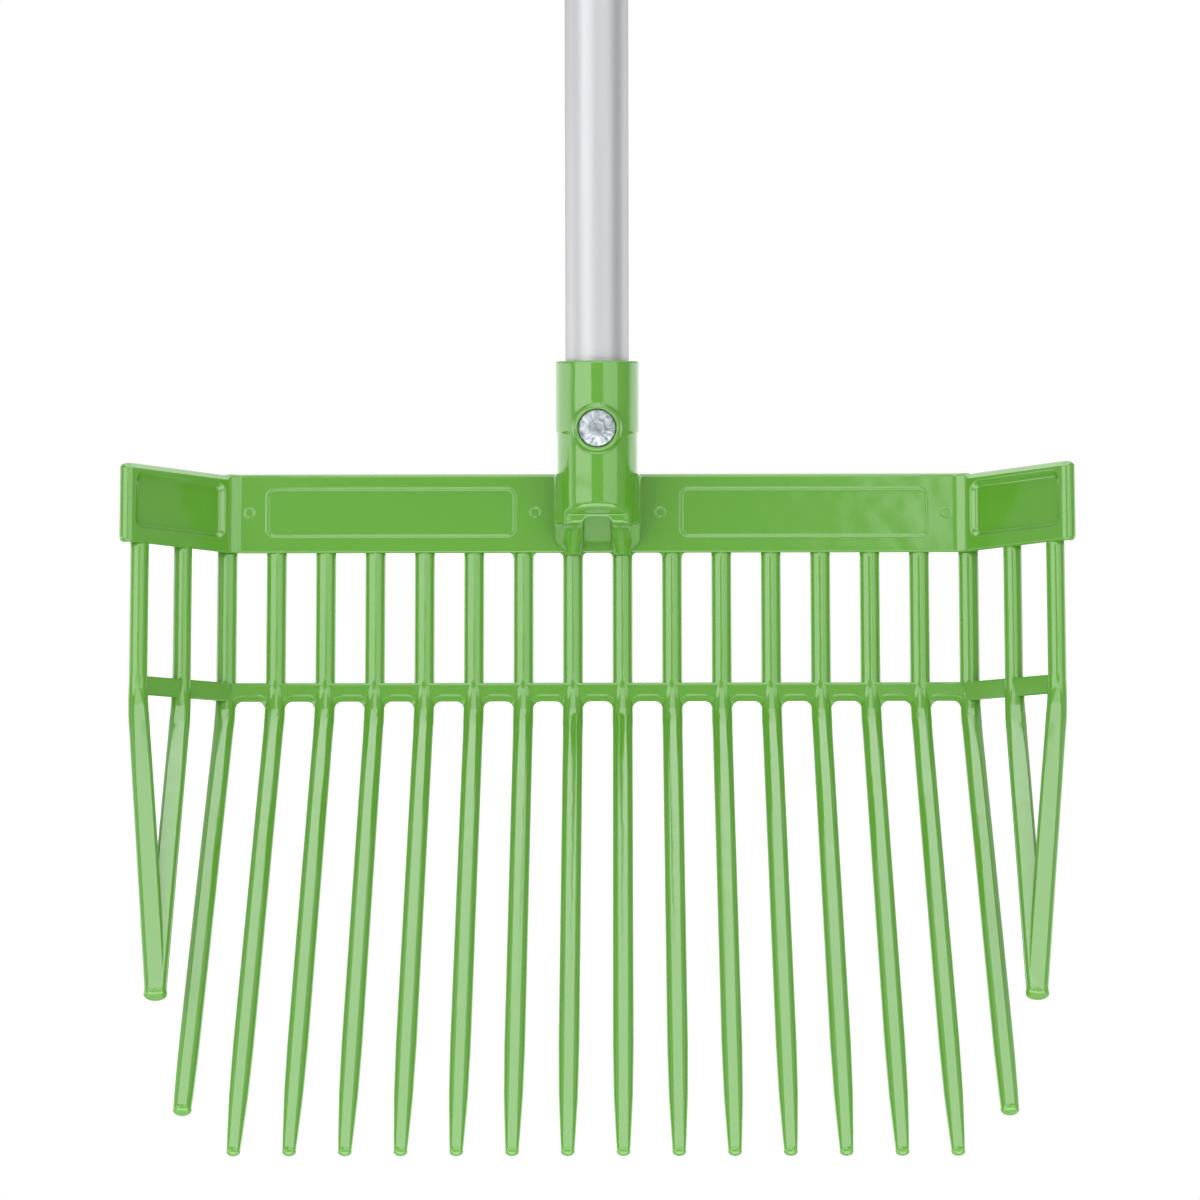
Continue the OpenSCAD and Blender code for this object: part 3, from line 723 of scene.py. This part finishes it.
def ramp(shade, start, stop, first=0.0, last=1.0):
    """Goes from first to last while a value goes from start to stop."""
    return shade.node("ShaderNodeMapRange", None, {
        "Value": shade, "From Min": start, "From Max": stop, "To Min": first, "To Max": last})


zinc, zinc_in, s = new_finish("zinc_plate")
place = s.node("ShaderNodeTexCoord", output="Object")
haze = noise(place, 420.0, 5.0)
flakes = ramp(haze, 0.36, 0.64)
feed(between(flakes, (0.15, 0.18, 0.20), (0.42, 0.455, 0.475)), zinc_in, "Base Color")
feed(0.25 + 0.20*haze, zinc_in, "Roughness")
feed(bumped(haze, 0.9, 0.0002), zinc_in, "Normal")
zinc_in["Metallic"].default_value = 1.0
bolt.data.materials.append(zinc)

# The bolt's shank, with the turns of its thread, one to a millimetre, cut in its far end
rings = []
for z in np.concatenate([[0.5, -2.2, -20.0], np.arange(thread_start, thread_end, thread_step)]):
    turns = [(-z + k/shank_sides) % 1.0 for k in range(shank_sides)]
    deep = thread_deep if z <= thread_start else 0
    rings.append([(bolt_r - deep*(1 - abs(2*turn - 1)), z) for turn in turns])
shank = piece("clamp_bolt_shank", on_bolt(spun(rings)), tube_faces(rings), "zinc_steel", crease=60)
shank.data.materials.append(zinc)


# Washer and lock nut: a plain zinc plated washer, and a hexagon nut with chamfered corners
# whose nylon ring grips the thread. They draw the bolt tight at the back of the socket.
washer_r, washer_t, washer_edge, hole_edge, round_sides = 6.0, 1.6, 0.3, 0.1, 72
nut_af, nut_h, nut_bore_r, nut_ease, nut_sides = 10.0, 6.0, 3.05, 0.1, 96
chamfer_slope, crown_h = 0.55, 1.3
ring_r, ring_h, ring_edge, ring_sunk = 4.1, 1.8, 0.3, 0.1


def behind(points):
    """Points turned about the upright axis laid along the bolt, rising away from the socket's back."""
    p = np.asarray(points, float)
    return np.stack([p[:, 0], boss_y + p[:, 2], bolt_z + p[:, 1]], 1)


half = [(bolt_hole_r, hole_edge), (bolt_hole_r + hole_edge, 0.0), (washer_r - washer_edge, 0.0),
        (washer_r, washer_edge)]
points, faces = lathe(half + [(r, washer_t - z) for r, z in reversed(half)], round_sides)
washer = piece("washer_plate", behind(points), faces, "zinc_steel", "washer", crease=50)
washer.data.materials.append(zinc)

flat_r = nut_af/2 - nut_ease
nut_top = washer_t + nut_h
crown_z = nut_top - crown_h
sixth = math.pi/3
bearings = [2*math.pi*k/nut_sides for k in range(nut_sides)]
hexagon = [nut_af/2/math.cos((a + sixth/2) % sixth - sixth/2) for a in bearings]
rings = [[(nut_bore_r, washer_t)]*nut_sides, [(flat_r, washer_t)]*nut_sides]
rings.append([(r, washer_t + chamfer_slope*(r - flat_r)) for r in hexagon])
rings.append([(r, crown_z - chamfer_slope*(r - flat_r)) for r in hexagon])
crown = [(flat_r, crown_z), (flat_r - 0.25, nut_top - 0.4), (flat_r - 0.55, nut_top), (ring_r, nut_top),
         (ring_r, nut_top - ring_h), (nut_bore_r, nut_top - ring_h)]
rings += [[pair]*nut_sides for pair in crown]
nut = piece("lock_nut_hexagon", behind(spun(rings)), loop_faces(rings), "zinc_steel", "lock_nut", crease=25)
nut.data.materials.append(zinc)

points, faces = lathe([
    (nut_bore_r, nut_top - ring_h), (ring_r, nut_top - ring_h), (ring_r, nut_top - ring_edge),
    (ring_r - ring_edge, nut_top - ring_sunk), (nut_bore_r + ring_edge, nut_top - ring_sunk),
    (nut_bore_r, nut_top - ring_sunk - ring_edge)], round_sides)
ring = piece("nut_ring_nylon", behind(points), faces, "nylon", "nut_ring", crease=50)
nylon, nylon_in, s = new_finish("pale_nylon")
place = s.node("ShaderNodeTexCoord", output="Object")
milk = noise(place, 400.0, 2.0)
feed(between(milk, (0.62, 0.66, 0.72), (0.74, 0.77, 0.81)), nylon_in, "Base Color")
feed(0.38 + 0.15*milk, nylon_in, "Roughness")
ring.data.materials.append(nylon)


# Stage: a plain pale floor well below the fork, which is held by its shaft. Softboxes stand to
# the left and right of the camera, one hangs overhead and one on a boom in front, a bounce
# lies below, and the surround is white.
floor_z, floor_half = -0.62, 1.2
head_middle = (0.0, -0.01, -0.08)


def softbox(name, place, aim, width, height, radiance):
    """An area lamp turned to its aim, seen only in what it lights."""
    lamp = bpy.data.lights.new(name, "AREA")
    lamp.shape, lamp.size, lamp.size_y = "RECTANGLE", width, height
    lamp.energy = radiance*math.pi*width*height
    made = bpy.data.objects.new(name, lamp)
    made.location = place
    made.rotation_euler = (Vector(aim) - Vector(place)).to_track_quat("-Z", "Y").to_euler()
    made.visible_camera = False
    bpy.context.scene.collection.objects.link(made)


softbox("left_softbox", (-0.98, -1.205, 0.42), head_middle, width=1.45, height=1.15, radiance=2.2)
softbox("right_softbox", (0.92, -1.245, 0.42), head_middle, width=1.25, height=1.15, radiance=1.35)
softbox("overhead_softbox", (0.0, -0.06, 1.36), (0.0, -0.14, -0.23), width=1.3, height=0.8, radiance=2.4)
softbox("boom_softbox", (0.0, -0.96, 1.02), (0.0, -0.01, -0.13), width=0.5, height=1.3, radiance=1.8)
softbox("table_bounce", (0.0, -0.59, -0.453), (0.0, -0.06, -0.09), width=1.3, height=0.5, radiance=2.2)

floor_mesh = bpy.data.meshes.new("floor")
corners = [(x*floor_half, y*floor_half, floor_z) for x, y in ((-1, -1), (1, -1), (1, 1), (-1, 1))]
floor_mesh.from_pydata(corners, [], [(0, 1, 2, 3)])
floor = bpy.data.objects.new("floor", floor_mesh)
bpy.context.scene.collection.objects.link(floor)
pale, pale_in, s = new_finish("pale_floor")
pale_in["Base Color"].default_value = (0.86, 0.86, 0.86, 1)
pale_in["Roughness"].default_value = 0.7
floor.data.materials.append(pale)

# The camera sees plain white. Reflections see a grey room with a bright wall behind the fork.
room_level, wall_level, card_level = 0.5, 1.8, 1.5
fill_level, fill_share = 0.3, 0.35
world = bpy.data.worlds.new("surround")
world.use_nodes = True
s = Shade(world.node_tree)
ray = s.node("ShaderNodeLightPath", output="Is Camera Ray")
glossy = s.node("ShaderNodeLightPath", output="Is Glossy Ray")
through = s.node("ShaderNodeLightPath", output="Is Transmission Ray")
way = s.node("ShaderNodeTexCoord", output="Generated")
rightward, rearward, upward = (s.node("ShaderNodeSeparateXYZ", None, {0: way}, axis) for axis in "XYZ")
# Low down on the left the wall comes forward, and far to either side it is dim at half height
low = ramp(upward, 0.0, 0.15, 0.45, 0.0)
wall = ramp(rearward + low*s.maths("MAXIMUM", 0 - rightward, 0.0), 0.05, 0.3)
dim = ramp(s.maths("ABSOLUTE", upward - 0.45, 0.0), 0.28, 0.38, 0.15)
central = ramp(s.maths("ABSOLUTE", rightward, 0.0), 0.50, 0.38)
# A white card beside the camera shows in the rail's right end
card = ramp(rightward, 0.068, 0.076)*ramp(rightward, 0.30, 0.26)
card = card*ramp(upward, 0.266, 0.280)*ramp(upward, 0.46, 0.42)*ramp(rearward, -0.6, -0.8)
studio = room_level + wall_level*wall*s.maths("MAXIMUM", dim, central) + card_level*card
mirrored = s.maths("MAXIMUM", glossy, through)
level = ray + (1 - ray)*(mirrored*studio + (fill_level + fill_share*studio)*(1 - mirrored))
backdrop = world.node_tree.nodes["Background"].inputs
feed(level, backdrop, "Strength")
backdrop["Color"].default_value = (1, 1, 1, 1)
bpy.context.scene.world = world

camera = bpy.data.objects.new("camera", bpy.data.cameras.new("camera"))
camera_aim, camera_roll = Vector((0.0010, -0.0082, -0.0953)), -0.002
camera.data.lens, camera.data.sensor_width = 114.0, 36.0
camera.location = (0.0098, -1.5243, -0.0061)
camera.rotation_euler = (camera_aim - camera.location).to_track_quat("-Z", "Y").to_euler()
camera.rotation_euler.rotate_axis("Z", camera_roll)
bpy.context.scene.collection.objects.link(camera)
bpy.context.scene.camera = camera
bpy.context.scene.view_settings.view_transform = "Standard"
